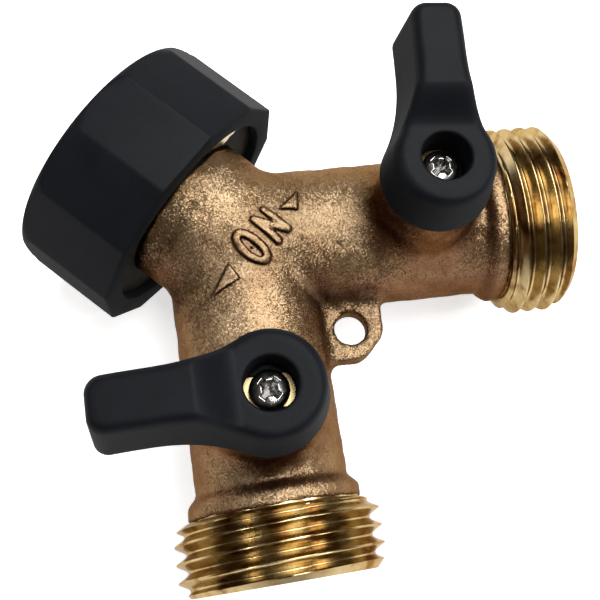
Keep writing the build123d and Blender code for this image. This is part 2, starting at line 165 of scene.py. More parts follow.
INSERT_APOTHEM = INSERT_CORNER_R * math.cos(math.pi / NUT_FACETS)
INSERT_FRONT_Y, SHOULDER_T = 6.7, 1.65
SWIVEL_R, RELIEF_R, FEMALE_START_Y = 10.68, 13.7, 0.2
MOUTH_FLARE, MOUTH_SLOPE = 0.3, 0.8

# ---- Handles ----
HANDLE_BASE_Z, HUB_TOP_Z, LEVER_PEAK_Z, LEVER_TIP_Z = 19.8, 27.4, 30.5, 30.0
HUB_BASE_R, HUB_TIP_R = 7.2, 5.8
WAIST_BASE_W, WAIST_TOP_W = 4.05, 3.15
FLARE_BASE_W, FLARE_TOP_W = 4.2, 2.95
LEVER_TIP_BASE, LEVER_TIP_TOP = 20.25, 19.75
LEAVE_ANGLE, WAIST_SHARE, TIP_CORNER = math.radians(63), 0.68, 1.9
RAMP_START_X, RAMP_END_X = 3.7, 8.3
RAMP_START_SLOPE, RAMP_END_SLOPE = 0.25, 0.35
TOP_STEEPNESS = 0.9         # brings heights over the sloping top nearer to true distances
HANDLE_EDGE, HANDLE_BASE_EDGE, HOLLOW_EDGE, CORE_CORNER_R = 1.3, 0.35, 0.3, 1.0
WEB_TOP_Z, WEB_BOTTOM_Z = 22.1, 20.3
COUNTERBORE_R, HUB_RECESS_R, DRIVE_HALF_FLAT = 3.05, 4.3, 1.9
CORE_START_X, CORE_END_X, CORE_HALF_W, CORE_ROOF_Z = 8.2, 17.2, 2.2, 27.0

# ---- Handle screws ----
SCREW_R, SCREW_BOTTOM_Z, SCREW_CHAMFER, SCREW_OVERLAP = 1.5, 14.5, 0.4, 0.2
SCREW_HEAD_R, SCREW_HEAD_TOP_Z, SCREW_DOME = 2.35, 24.1, 0.55
SCREW_HEAD_ROUNDING = 0.5
RECESS_HALF_L, RECESS_HALF_W, RECESS_DEPTH, RECESS_EDGE = 1.50, 0.40, 1.7, 0.1
RECESS_LENGTH_TAPER, RECESS_WIDTH_TAPER = 0.45, 0.08
RECESS_CORE_R, RECESS_CORE_TAPER, RECESS_FLOOR_SLOPE = 0.95, 0.25, 0.9
RECESS_STEEPNESS = 0.8      # the same, for the recess's sloping floor

# ---- Colours and finishes ----
BODY_TONES = (
    (0.28, (0.062, 0.028, 0.018)),
    (0.48, (0.150, 0.079, 0.046)),
    (0.66, (0.255, 0.162, 0.086)),
    (0.82, (0.340, 0.242, 0.140)),
)
# Facing up lightens the body's tone: painted light on top, painted shade down the sides.
TONE_OFFSET, TONE_BY_PATCH, PAINTED_LIGHT_BY_UPWARD, TONE_BY_GRAIN = -0.05, 0.40, 0.46, 0.30
# Dark tone that is painted into creases as shade.
CREASE_SHADE_TONE = (0.036, 0.016, 0.009)
TURNED_TONES = (
    (0.34, (0.170, 0.090, 0.045)),
    (0.48, (0.340, 0.250, 0.120)),
    (0.66, (0.440, 0.350, 0.195)),
)
# Near-black painted shade, for the insert's back face and for the tail inside the nut.
PAINTED_SHADE_TONES = (
    (0.35, (0.010, 0.008, 0.005)),
    (0.65, (0.022, 0.018, 0.012)),
)
FACED_TONE = (0.80, 0.75, 0.60)
METAL_EDGE_TINT = (0.60, 0.50, 0.40, 1)
PAINTED_SHADE_TOP_Z, PAINTED_SHADE_RAGGED = 8.5, 4.0    # the nut's back face is painted near-black as shade up to here, give or take
PAINTED_SHADE_DEPTH, PAINTED_SHADE_ROUGHER, INSERT_ROUGHNESS = 0.1, 0.4, 0.3
PLASTIC_TONES = (
    (0.3, (0.0020, 0.0028, 0.0042)),
    (0.7, (0.0034, 0.0044, 0.0064)),
)
PLASTIC_ROUGHNESS, PLASTIC_BY_UPWARD, PLASTIC_BY_GRAIN = 0.75, -0.35, 0.2

# ---- Setting, in metres ----
FLOOR_HALF_SIZE, FLOOR_GAP, FLOOR_GLOW = 3.0, 0.0002, 0.66
FLOOR_TONES = ((0.3, 0.86), (0.7, 0.88))
WORLD_COLOUR, WORLD_STRENGTH = (1.0, 0.74, 0.58, 1), 0.10

# ---- View, solved together with the object's sizes ----
CAMERA_AT = (-36.88, -42.74, 137.76)
CAMERA_RIGHT = (0.59269, -0.80033, 0.09047)
CAMERA_UP = (0.74147, 0.58604, 0.32679)
CAMERA_LENS, CAMERA_SENSOR = 61.31, 36.0
CAMERA_SHIFT = (-0.0417, -0.1083)


# ---- Distance fields ----
def blend_min(a, b, width):
    """Union of two distance fields with a fillet about as large as width."""
    share = np.clip(0.5 + 0.5 * (b - a) / width, 0, 1)
    return b + (a - b) * share - width * share * (1 - share)


def blend_max(a, b, width):
    """Intersection of two distance fields with a rounding about as large as width."""
    return -blend_min(-a, -b, width)


def corner(a, b, radius):
    """Intersection of two distance fields with an exact round of the given radius."""
    a, b = a + radius, b + radius
    return np.minimum(np.maximum(a, b), 0) + np.hypot(np.maximum(a, 0), np.maximum(b, 0)) - radius


def hermite(t, start, end, start_slope, end_slope, length):
    """A smooth curve from start to end over t = 0 to 1, with the given slopes at its ends."""
    t2, t3 = t * t, t * t * t
    curve = (2 * t3 - 3 * t2 + 1) * start + (3 * t2 - 2 * t3) * end
    return curve + length * ((t3 - 2 * t2 + t) * start_slope + (t3 - t2) * end_slope)


def lerp(a, b, t):
    """The value a share t of the way from a to b."""
    return a + (b - a) * t


def lumps(points):
    """The casting's gentle unevenness, from -1 to 1."""
    random = np.random.default_rng(11)
    total = np.zeros(len(points))
    for _ in range(LUMP_WAVES):
        direction = random.normal(size=3)
        wave = 2 * math.pi / (LUMP_LENGTH * random.uniform(0.7, 1.8))
        total += np.sin(points @ (wave * direction / np.linalg.norm(direction)) + random.uniform(0, 6.28))
    return total / math.sqrt(LUMP_WAVES)


def in_leg(points, side):
    """Distance from the junction along a leg, and distance from the leg's axis."""
    from_junction = points - JUNCTION
    along = from_junction @ LEG_AXIS[side]
    away = np.linalg.norm(from_junction - along[:, None] * LEG_AXIS[side], axis=1)
    return along, away


def leg_field(points, side):
    """One leg, which swells into the collar behind its thread."""
    along, away = in_leg(points, side)
    swell = np.clip((along - SWELL_START) / (SWELL_END - SWELL_START), 0, 1)
    radius = lerp(LEG_R, COLLAR_R, swell * swell * (3 - 2 * swell))
    tube = blend_max(away - radius, along - COLLAR_END, COLLAR_ROUNDING)
    return np.maximum(tube, -along)


def boss_field(points, side):
    """The tapered boss round one valve stem."""
    away = np.hypot(points[:, 0] - STEM_AT[side][0], points[:, 1] - STEM_AT[side][1])
    height = points[:, 2]
    radius = lerp(BOSS_BASE_R, BOSS_TOP_R, np.clip(height / BOSS_TOP_Z, 0, 1))
    return np.maximum(blend_max(away - radius, height - BOSS_TOP_Z, BOSS_ROUNDING), -height)


def cast_field(points):
    """The cast outside without the lug and the marks."""
    x, y, z = points.T
    neck = blend_max(np.hypot(x, z) - NECK_R, y - NECK_TOP_Y, NECK_ROUNDING)
    shape = np.maximum(neck, JUNCTION_Y - y)
    ball = np.linalg.norm(points - JUNCTION, axis=1) - JUNCTION_R
    shape = np.minimum(shape, ball)
    for side in LEG_AXIS:
        leg = blend_min(leg_field(points, side), boss_field(points, side), BOSS_BLEND)
        shape = blend_min(shape, leg, LEG_BLEND)
    return shape


def lug_field(points):
    """The flat hanging lug between the legs."""
    x, y, z = points.T
    from_end = LUG_END_Y - y
    bevel = (np.abs(x) - LUG_HALF_END + from_end) * math.sqrt(0.5)
    plan = corner(corner(np.abs(x) - LUG_HALF_ROOT, from_end, LUG_CORNER_R), bevel, LUG_CORNER_R)
    plan = np.maximum(plan, y - JUNCTION_Y)
    return corner(plan, np.abs(z) - LUG_HALF_T, LUG_ROUNDING)


def capsule(x, y, start, end):
    """Plan distance to the line between two points."""
    span_x, span_y = end[0] - start[0], end[1] - start[1]
    share = ((x - start[0]) * span_x + (y - start[1]) * span_y) / (span_x ** 2 + span_y ** 2)
    share = np.clip(share, 0, 1)
    return np.hypot(x - start[0] - share * span_x, y - start[1] - share * span_y)


def wedge(x, y, corners):
    """Plan distance to a filled triangle."""
    middle = np.mean(corners, axis=0)
    inside = np.full(len(x), -np.inf)
    for start, end in zip(corners, corners[1:] + corners[:1]):
        normal = np.array([end[1] - start[1], start[0] - end[0]])
        normal /= np.linalg.norm(normal)
        if normal @ (middle - start) > 0:
            normal = -normal
        inside = np.maximum(inside, (x - start[0]) * normal[0] + (y - start[1]) * normal[1])
    return inside


def mark_plan(points):
    """Plan distance to the raised word ON and its two arrowheads."""
    x, y = points[:, 0], points[:, 1] - JUNCTION_Y
    ring = np.hypot((x - RING_MIDDLE[0]) / RING_RADII[0], (y - RING_MIDDLE[1]) / RING_RADII[1])
    slope = np.hypot((x - RING_MIDDLE[0]) / RING_RADII[0] ** 2, (y - RING_MIDDLE[1]) / RING_RADII[1] ** 2)
    plan = np.abs(ring - 1) * ring / np.maximum(slope, 0.1) - MARK_HALF_W
    strokes = (
        ((N_LEFT, N_BOTTOM), (N_LEFT, N_TOP)),
        ((N_LEFT, N_TOP), (N_RIGHT, N_BOTTOM)),
        ((N_RIGHT, N_BOTTOM), (N_RIGHT, N_TOP)),
    )
    for start, end in strokes:
        plan = np.minimum(plan, capsule(x, y, start, end) - MARK_HALF_W)
    for corners in ARROWS:
        plan = np.minimum(plan, wedge(x, y, corners))
    return plan


def leg_hollow_field(points, side):
    """Everything that is bored out of one leg."""
    along, away = in_leg(points, side)
    from_stem = along - STEM_REACH
    hollow = np.maximum(away - LEG_BORE_R, -along)
    hollow = np.minimum(hollow, np.maximum(away - CHAMBER_R, np.abs(from_stem) - CHAMBER_HALF_L))
    hollow = np.minimum(hollow, np.maximum(away - RETAINER_R, CHAMBER_HALF_L - from_stem))
    stem_away = np.hypot(points[:, 0] - STEM_AT[side][0], points[:, 1] - STEM_AT[side][1])
    pocket = np.maximum(stem_away - FLANGE_POCKET_R, points[:, 2] - FLANGE_POCKET_Z)
    bore = np.minimum(stem_away - STEM_BORE_R, pocket)
    return np.minimum(hollow, np.maximum(bore, -points[:, 2]))


def body_field(points):
    """The casting: outside with lug and marks, less its bores and the lug's hole."""
    x, y, z = points.T
    outside = cast_field(points)
    marks = blend_max(mark_plan(points), outside - MARK_RAISE, MARK_ROUNDING)
    marks = np.maximum(marks, -z)
    shape = blend_min(outside, lug_field(points), LUG_BLEND)
    shape = blend_min(shape, marks, MARK_FOOT)
    shape = shape + LUMP_HEIGHT * lumps(points)
    shape = blend_max(shape, LUG_HOLE_R - np.hypot(x, y - HOLE_AT[1]), LUG_HOLE_ROUNDING)
    neck_bore = np.maximum(np.hypot(x, z) - INLET_BORE_R, JUNCTION_Y - y)
    junction_bore = np.linalg.norm(points - JUNCTION, axis=1) - INLET_BORE_R
    hollow = np.minimum(neck_bore, junction_bore)
    for side in LEG_AXIS:
        hollow = np.minimum(hollow, leg_hollow_field(points, side))
    return blend_max(shape, -hollow, BORE_ROUNDING)


def lever_top(x):
    """Height of a handle's top: flat hub, scooped ramp, and a gentle fall to the tip."""
    length = RAMP_END_X - RAMP_START_X
    t = np.clip((x - RAMP_START_X) / length, 0, 1)
    ramp = hermite(t, HUB_TOP_Z, LEVER_PEAK_Z, RAMP_START_SLOPE, RAMP_END_SLOPE, length)
    beyond = np.clip((x - RAMP_END_X) / (LEVER_TIP_TOP - RAMP_END_X), 0, 1.2)
    return ramp - (LEVER_PEAK_Z - LEVER_TIP_Z) * beyond


def handle_field(points):
    """A lever handle around its stem's axis, with the lever along +X."""
    x, y, z = points.T
    rise = (z - HANDLE_BASE_Z) / (LEVER_PEAK_Z - HANDLE_BASE_Z)
    away = np.hypot(x, y)
    hub_r = lerp(HUB_BASE_R, HUB_TIP_R, rise)
    tip_x = lerp(LEVER_TIP_BASE, LEVER_TIP_TOP, rise)
    waist_w = lerp(WAIST_BASE_W, WAIST_TOP_W, rise)
    flare_w = lerp(FLARE_BASE_W, FLARE_TOP_W, rise)
    leave_x, leave_y = hub_r * math.cos(LEAVE_ANGLE), hub_r * math.sin(LEAVE_ANGLE)
    waist_x = WAIST_SHARE * tip_x
    length = waist_x - leave_x
    t = np.clip((x - leave_x) / length, 0, 1)
    flank = hermite(t, leave_y, waist_w, -1 / math.tan(LEAVE_ANGLE), 0, length)
    flank += (flare_w - waist_w) * np.clip((x - waist_x) / (tip_x - waist_x), 0, 1) ** 2
    lever = corner(np.abs(y) - flank, x - tip_x, TIP_CORNER)
    plan = np.minimum(away - hub_r, np.maximum(lever, -x))
    shape = blend_max(plan, TOP_STEEPNESS * (z - lever_top(x)), HANDLE_EDGE)
    shape = blend_max(shape, HANDLE_BASE_Z - z, HANDLE_BASE_EDGE)
    counterbore = np.maximum(away - COUNTERBORE_R, WEB_TOP_Z - z)
    drive = np.maximum(np.maximum(away - COUNTERBORE_R, np.abs(y) - DRIVE_HALF_FLAT), WEB_BOTTOM_Z - z)
    recess = np.maximum(away - HUB_RECESS_R, z - WEB_BOTTOM_Z)
    core_middle, core_half_l = (CORE_START_X + CORE_END_X) / 2, (CORE_END_X - CORE_START_X) / 2
    core = corner(np.abs(x - core_middle) - core_half_l, np.abs(y) - CORE_HALF_W, CORE_CORNER_R)
    core = np.maximum(core, z - CORE_ROOF_Z)
    hollow = np.minimum(np.minimum(counterbore, drive), np.minimum(recess, core))
    return blend_max(shape, -hollow, HOLLOW_EDGE)


def screw_head_field(points):
    """A pan head with a tapering cross recess."""
    x, y, z = points.T
    away = np.hypot(x, y)
    dome = z - SCREW_HEAD_TOP_Z + SCREW_DOME * (away / SCREW_HEAD_R) ** 2
    head = np.maximum(blend_max(away - SCREW_HEAD_R, dome, SCREW_HEAD_ROUNDING), WEB_TOP_Z - z)
    depth = SCREW_HEAD_TOP_Z - z
    recess = np.full(len(points), np.inf)
    for along, across in (((x + y), (x - y)), ((x - y), (x + y))):
        length = np.abs(along) * math.sqrt(0.5) - RECESS_HALF_L + RECESS_LENGTH_TAPER * depth
        width = np.abs(across) * math.sqrt(0.5) - RECESS_HALF_W + RECESS_WIDTH_TAPER * depth
        recess = np.minimum(recess, np.maximum(length, width))
    recess = blend_min(recess, away - RECESS_CORE_R + RECESS_CORE_TAPER * depth, RECESS_EDGE)
    recess = np.maximum(recess, RECESS_STEEPNESS * (depth + RECESS_FLOOR_SLOPE * away - RECESS_DEPTH))
    return blend_max(head, -recess, RECESS_EDGE)


# ---- Meshes ----
def slopes(points, field, step=0.01):
    """Gradient of a field at the points."""
    result = np.empty_like(points)
    for axis in range(3):
        offset = np.zeros(3)
        offset[axis] = step
        result[:, axis] = (field(points + offset) - field(points - offset)) / (2 * step)
    return result


def settled(points, field, reach):
    """Points moved onto a field's surface, each round by at most reach."""
    for _ in range(SETTLE_ROUNDS):
        slope = slopes(points, field)
        move = -field(points) / np.maximum((slope ** 2).sum(1), 0.2)
        move = slope * move[:, None]
        length = np.linalg.norm(move, axis=1, keepdims=True)
        points = points + move * np.minimum(1, reach / np.maximum(length, 1e-9))
    return points


def crease_shade(points, field):
    """How deep each surface point lies in a crease, from 0 on open surfaces to 1, for painting shade into creases.
    """
    normal = slopes(points, field)
    normal /= np.maximum(np.linalg.norm(normal, axis=1, keepdims=True), 1e-6)
    depth = np.zeros(len(points))
    for reach, weight in CAVITY_REACHES:
        depth += weight * np.clip(1 - field(points + reach * normal) / reach, 0, 1)
    return np.clip(depth, 0, 1)


def field_skin(field, low, high, step):
    """Vertices and quads of a field's surface inside the box from low to high."""
    low = np.array(low, float)
    counts = np.ceil((np.array(high) - low) / step).astype(int) + 1
    lines = [low[axis] + step * np.arange(counts[axis]) for axis in range(3)]
    samples = np.stack(np.meshgrid(*lines, indexing="ij"), -1).reshape(-1, 3)
    band = 3 * step
    values = np.clip(field(samples), -band, band).reshape(counts).astype(np.float32)
    grid = openvdb.FloatGrid(band)
    grid.copyFromArray(values)
    points, quads = grid.convertToQuads(isovalue=0.0)
    return settled(low + step * points.astype(float), field, step / 2), quads.astype(int)


def new_bmesh(vertices, faces):
    """A bmesh of the given vertices, in metres, and faces."""
    mesh = bpy.data.meshes.new("work")
    mesh.from_pydata((vertices * METRES).tolist(), [], np.asarray(faces).tolist())
    work = bmesh.new()
    work.from_mesh(mesh)
    bpy.data.meshes.remove(mesh)
    return work


def finished(name, work, sharp_angle=None):
    """An object made of a bmesh, smooth apart from edges sharper than sharp_angle degrees."""
    bmesh.ops.recalc_face_normals(work, faces=work.faces)
    mesh = bpy.data.meshes.new(name)
    work.to_mesh(mesh)
    work.free()
    mesh.shade_smooth()
    if sharp_angle:
        mesh.set_sharp_from_angle(angle=math.radians(sharp_angle))
    made = bpy.data.objects.new(name, mesh)
    bpy.context.scene.collection.objects.link(made)
    return made


def refined(vertices, faces, field, wanted, cuts, reach):
    """The skin with the edges that wanted picks divided, as a bmesh settled on the field again."""
    work = new_bmesh(vertices, faces)
    picked = wanted(vertices)
    work.verts.ensure_lookup_table()
    edges = [e for e in work.edges if picked[e.verts[0].index] and picked[e.verts[1].index]]
    bmesh.ops.subdivide_edges(work, edges=edges, cuts=cuts, use_grid_fill=True)
    points = np.array([v.co for v in work.verts]) / METRES
    for vertex, place in zip(work.verts, settled(points, field, reach) * METRES):
        vertex.co = place
    return work


def across(axis):
    """Two unit vectors that make a right-handed frame with an axis, the first one level or up."""
    first = UP if abs(axis @ UP) < 0.5 else np.array([1.0, 0.0, 0.0])
    return first, np.cross(axis, first)


def sleeve(name, rows, angles, origin, axis, sharp_angle=30):
    """A closed skin through rings around an axis.

    Each row is (along, radius), each of them one number or one number per angle.
    """
    first, second = across(axis)
    columns = len(angles)
    points = np.empty((len(rows), columns, 3))
    for index, (along, radius) in enumerate(rows):
        along = np.broadcast_to(along, columns)[:, None]
        radius = np.broadcast_to(radius, columns)[:, None]
        ray = np.cos(angles)[:, None] * first + np.sin(angles)[:, None] * second
        points[index] = origin + along * axis + radius * ray
    row, column = np.meshgrid(np.arange(len(rows)), np.arange(columns - 1), indexing="ij")
    next_row = (row + 1) % len(rows)
    quads = np.stack([
        row * columns + column, row * columns + column + 1,
        next_row * columns + column + 1, next_row * columns + column,
    ], -1).reshape(-1, 4)
    work = new_bmesh(points.reshape(-1, 3), quads)
    bmesh.ops.remove_doubles(work, verts=work.verts, dist=1e-7)
    bmesh.ops.dissolve_degenerate(work, edges=work.edges, dist=1e-7)
    return finished(name, work, sharp_angle)


def even_angles(start=0.0):
    """Angles once round, with the first repeated at the end."""
    return start + np.linspace(0, 2 * math.pi, RING_STEPS + 1)


def ridge(along, angles):
    """Height of a right-hand thread over its root, from 0 to 1, with its root and crest rounded."""
    phase = along / PITCH - angles / (2 * math.pi)
    from_crest = np.abs(phase - np.round(phase)) * PITCH
    flank = (PITCH - CREST_FLAT - ROOT_FLAT) / 2
    height = (PITCH / 2 - ROOT_FLAT / 2 - from_crest) / flank
    height = blend_max(height, np.zeros_like(height), ROOT_ROUNDING)
    return blend_min(height, np.ones_like(height), CREST_ROUNDING)


def thread_rows(start, end, angles, radius):
    """Rows that follow the thread from start to end, with radius(along, angles) on them."""
    rows = []
    first = -THREAD_STEPS
    last = math.ceil((end - start) / PITCH * THREAD_STEPS)
    turn = (angles - angles[0]) / (2 * math.pi)
    for index in range(first, last + 1):
        along = np.clip(start + (index / THREAD_STEPS + turn) * PITCH, start, end)
        rows.append((along, radius(along, angles)))
    return rows


def outlet_radius(along, angles, shift):
    """Radius of a male thread cut into its blank, which slopes at both ends."""
    back = BLANK_BACK_R + BLANK_BACK_SLOPE * (along - COLLAR_END)
    front = BLANK_FRONT_R + (LEG_REACH - along)
    blank = np.minimum(np.minimum(back, front), MALE_MAJOR_R)
    return np.minimum(blank, lerp(MALE_ROOT_R, MALE_MAJOR_R, ridge(along - shift, angles)))


def insert_radius(along, angles):
    """Radius of the female thread, opened out at its mouth."""
    mouth = FEMALE_ROOT_R + MOUTH_FLARE - MOUTH_SLOPE * (INSERT_FRONT_Y - along)
    return np.maximum(lerp(FEMALE_ROOT_R, FEMALE_MINOR_R, ridge(along, angles)), mouth)


def nut_angles():
    """Angles once round the nut, close together at its corners."""
    facet = 2 * math.pi / NUT_FACETS
    tangent = math.atan((1 - NUT_EDGE_FILLET / NUT_APOTHEM) * math.tan(facet / 2))
    fillet = facet / 2 - tangent
    round_part = np.linspace(-fillet, fillet, CORNER_STEPS + 1)[:-1]
    flat_part = np.linspace(fillet, facet - fillet, FACET_STEPS + 1)[:-1]
    offsets = np.concatenate([round_part, flat_part])
    angles = np.concatenate([offsets + turn * facet for turn in range(NUT_FACETS)])
    return math.radians(NUT_FIRST_CORNER) + np.append(angles, angles[0] + 2 * math.pi)


def faceted_radius(angles, apothem, fillet):
    """Distance to a twelve-sided outline with rounded corners."""
    half = math.pi / NUT_FACETS
    turn = (angles - math.radians(NUT_FIRST_CORNER)) / (2 * half)
    from_corner = np.abs(turn - np.round(turn)) * 2 * half
    straight = apothem / np.cos(half - from_corner)
    centre = (apothem - fillet) / math.cos(half)
    inside = np.maximum(fillet ** 2 - (centre * np.sin(from_corner)) ** 2, 0)
    rounded = centre * np.cos(from_corner) + np.sqrt(inside)
    tangent = half - math.atan((1 - fillet / apothem) * math.tan(half))
    return np.where(from_corner < tangent, rounded, straight)


def rim_steps(fillet, count=6):
    """(distance in from the end face, inset) pairs round a quarter-round rim, from face to side."""
    turns = np.linspace(0, math.pi / 2, count)
    return [(fillet * (1 - math.sin(t)), fillet * (1 - math.cos(t))) for t in turns][::-1]


# ---- Pieces ----
def make_cast_body():
    """The casting with its lug, marks, bores and valve chambers."""
    reach = LEG_REACH * abs(LEG_AXIS["left"][1]) + COLLAR_R
    low = (-reach, JUNCTION_Y - reach, -JUNCTION_R - BODY_ROOM_BELOW)
    high = (reach, NECK_TOP_Y + BODY_ROOM, BOSS_TOP_Z + BODY_ROOM)
    vertices, quads = field_skin(body_field, low, high, BODY_CELL)

    def near_marks(points):
        return (points[:, 2] > MARK_FINE_FROM_Z) & (mark_plan(points) < MARK_FINE_REACH)

    work = refined(vertices, quads, body_field, near_marks, cuts=2, reach=0.12)
    points = np.array([v.co for v in work.verts]) / METRES
    casting = finished("cast_body", work)
    # The crease measure is stored so the material can paint shade into the creases.
    shade = casting.data.attributes.new("crease_shade", "FLOAT", "POINT")
    shade.data.foreach_set("value", crease_shade(points, body_field))
    return casting


def make_inlet_tail():
    """The machined tail that the nut turns on, with its snap-ring groove."""
    ring_low, ring_high = RING_GROOVE_Y
    hidden = NECK_TOP_Y - TAIL_ROOT
    rows = [
        (hidden, TAIL_R), (ring_low - GROOVE_CHAMFER, TAIL_R), (ring_low, TAIL_R - GROOVE_CHAMFER),
        (ring_low, RING_GROOVE_R), (ring_high, RING_GROOVE_R),
        (ring_high, TAIL_R - GROOVE_CHAMFER), (ring_high + GROOVE_CHAMFER, TAIL_R),
        (TAIL_END_Y - TAIL_CHAMFER, TAIL_R), (TAIL_END_Y, TAIL_R - TAIL_CHAMFER),
        (TAIL_END_Y, INLET_BORE_R + TAIL_CHAMFER), (TAIL_END_Y - TAIL_CHAMFER, INLET_BORE_R),
        (NECK_TOP_Y, INLET_BORE_R), (NECK_TOP_Y, INLET_BORE_R + TAIL_OVERLAP),
        (hidden, INLET_BORE_R + TAIL_OVERLAP),
    ]
    return sleeve("inlet_tail", rows, even_angles(), np.zeros(3), INLET_AXIS)


def make_outlet(side):
    """The machined end of one leg: a male hose thread round a chamfered mouth."""
    angles = even_angles()
    shift = THREAD_SHIFT[side] * PITCH

    def shifted(along, angles):
        return outlet_radius(along, angles, shift)

    rows = thread_rows(COLLAR_END, LEG_REACH, angles, shifted)
    hidden = COLLAR_END - OUTLET_OVERLAP
    inner_r, outer_r = RETAINER_R + OUTLET_OVERLAP, BLANK_BACK_R - OUTLET_OVERLAP
    rows += [
        (LEG_REACH, MOUTH_R + MOUTH_CHAMFER), (LEG_REACH - MOUTH_CHAMFER, MOUTH_R),
        (RETAINER_END, MOUTH_R), (RETAINER_END, RETAINER_R), (COLLAR_END, RETAINER_R),
        (COLLAR_END, inner_r), (hidden, inner_r), (hidden, outer_r), (COLLAR_END, outer_r),
    ]
    return sleeve(f"{side}_outlet_thread", rows, angles, JUNCTION, LEG_AXIS[side])


def make_nut_grip():
    """The twelve-sided plastic grip, with a round hole in its back and a round lip at its front."""
    angles = nut_angles()

    def outline(inset):
        return faceted_radius(angles, NUT_APOTHEM - inset, NUT_EDGE_FILLET)

    pocket = faceted_radius(angles, INSERT_APOTHEM, NO_RADIUS)
    wall_y = NUT_BACK_Y + SHELL_WALL
    rows = [(NUT_BACK_Y + inset, SHELL_HOLE_R + depth) for inset, depth in HOLE_EDGE]
    rows += [(NUT_BACK_Y + depth, outline(inset)) for depth, inset in rim_steps(NUT_BACK_FILLET)]
    for turn in np.linspace(0, math.pi / 2, LIP_STEPS):
        along = lerp(NUT_LIP_START_Y, NUT_FRONT_Y, math.sin(turn))
        lip = lerp(NUT_LIP_R, NUT_CORNER_R, math.cos(turn))
        rows.append((along, np.minimum(outline(0), lip)))
    rows += [
        (NUT_FRONT_Y, pocket + POCKET_CHAMFER), (NUT_FRONT_Y - POCKET_CHAMFER, pocket),
        (wall_y, pocket), (wall_y, SHELL_HOLE_R),
    ]
    return sleeve("nut_grip", rows, angles, np.zeros(3), INLET_AXIS, 40)


def make_nut_core():
    """The brass insert moulded into the grip, with the female hose thread."""
    angles = even_angles(math.radians(NUT_FIRST_CORNER))
    outside = faceted_radius(angles, INSERT_APOTHEM, NO_RADIUS)
    back = NUT_BACK_Y + SHELL_WALL
    shoulder = back + SHOULDER_T
    rows = thread_rows(FEMALE_START_Y, INSERT_FRONT_Y, angles, insert_radius)
    rows += [
        (INSERT_FRONT_Y, outside), (back, outside),
        (back, SWIVEL_R + SWIVEL_CHAMFER), (back + SWIVEL_CHAMFER, SWIVEL_R),
        (shoulder, SWIVEL_R), (shoulder, RELIEF_R), (FEMALE_START_Y, RELIEF_R),
    ]
    return sleeve("nut_core", rows, angles, np.zeros(3), INLET_AXIS)


def on_stem(vertices, side):
    """Points moved from a handle's own frame to its place on a stem."""
    turn = math.radians(LEVER_HEADING[side])
    cos, sin = math.cos(turn), math.sin(turn)
    x, y, z = vertices.T
    return np.stack([x * cos - y * sin, x * sin + y * cos, z], -1) + STEM_AT[side]


def make_levers():
    """Both lever handles, from one shape."""
    side_edge, tip_edge = HUB_BASE_R + HANDLE_ROOM, LEVER_TIP_BASE + HANDLE_ROOM
    low = (-side_edge, -side_edge, HANDLE_BASE_Z - HANDLE_ROOM)
    high = (tip_edge, side_edge, LEVER_PEAK_Z + HANDLE_ROOM)
    vertices, quads = field_skin(handle_field, low, high, HANDLE_CELL)
    levers = {}
    for side in STEM_AT:
        levers[side] = finished(f"{side}_lever", new_bmesh(on_stem(vertices, side), quads), 50)
    return levers


def make_screws():
    """Both handle screws, from one shape: a recessed pan head on its shank."""
    edge = SCREW_HEAD_R + SCREW_ROOM
    low, high = (-edge, -edge, WEB_TOP_Z - SCREW_ROOM), (edge, edge, SCREW_HEAD_TOP_Z + SCREW_ROOM)
    vertices, quads = field_skin(screw_head_field, low, high, SCREW_CELL)
    shank_top = WEB_TOP_Z + SCREW_OVERLAP
    screws = {}
    for side, place in STEM_AT.items():
        screws[side] = finished(f"{side}_screw", new_bmesh(on_stem(vertices, side), quads), 50)
        rows = [
            (shank_top, NO_RADIUS), (shank_top, SCREW_R), (SCREW_BOTTOM_Z + SCREW_CHAMFER, SCREW_R),
            (SCREW_BOTTOM_Z, SCREW_R - SCREW_CHAMFER), (SCREW_BOTTOM_Z, NO_RADIUS),
        ]
        shank = sleeve(f"{side}_screw_shank", rows, even_angles()[::6], place, UP)
        both = [screws[side], shank]
        with bpy.context.temp_override(active_object=screws[side], selected_editable_objects=both):
            bpy.ops.object.join()
    return screws


# ---- Materials ----
def add(tree, kind, inputs=(), **settings):
    """A new node, with its settings and its inputs given as values or as sockets to link."""
    node = tree.nodes.new(kind)
    for key, value in settings.items():
        setattr(node, key, value)
    for key, value in dict(inputs).items():
        if isinstance(value, bpy.types.NodeSocket):
            tree.links.new(value, node.inputs[key])
        else:
            node.inputs[key].default_value = value
    return node


def new_material(name, **shader):
    """A material, its tree and its principled shader with the given socket values."""
    made = bpy.data.materials.new(name)
    made.use_nodes = True
    principled = made.node_tree.nodes["Principled BSDF"]
    for key, value in shader.items():
        principled.inputs[key.replace("_", " ")].default_value = value
    return made, made.node_tree, principled


def vector_node(tree, operation, inputs):
    """The result of a vector math node with the given inputs."""
    return add(tree, "ShaderNodeVectorMath", inputs, operation=operation).outputs[0]


def in_millimetres(tree):
    """The object's own coordinates, in millimetres."""
    place = add(tree, "ShaderNodeTexCoord").outputs["Object"]
    return vector_node(tree, "SCALE", {0: place, "Scale": 1 / METRES})


def upwardness(tree):
    """How far the surface faces up, from -1 to 1, in the object's own frame."""
    facing = add(tree, "ShaderNodeTexCoord").outputs["Normal"]
    return add(tree, "ShaderNodeSeparateXYZ", {"Vector": facing}).outputs["Z"]


def noise(tree, vector, scale, detail=3.0, roughness=0.55):
    """A noise value at every point, with scale features in each millimetre."""
    inputs = {"Vector": vector, "Scale": scale, "Detail": detail, "Roughness": roughness}
    return add(tree, "ShaderNodeTexNoise", inputs).outputs["Fac"]


def math_node(tree, operation, *values):
    """The result of a math node with the given inputs."""
    return add(tree, "ShaderNodeMath", dict(enumerate(values)), operation=operation).outputs[0]


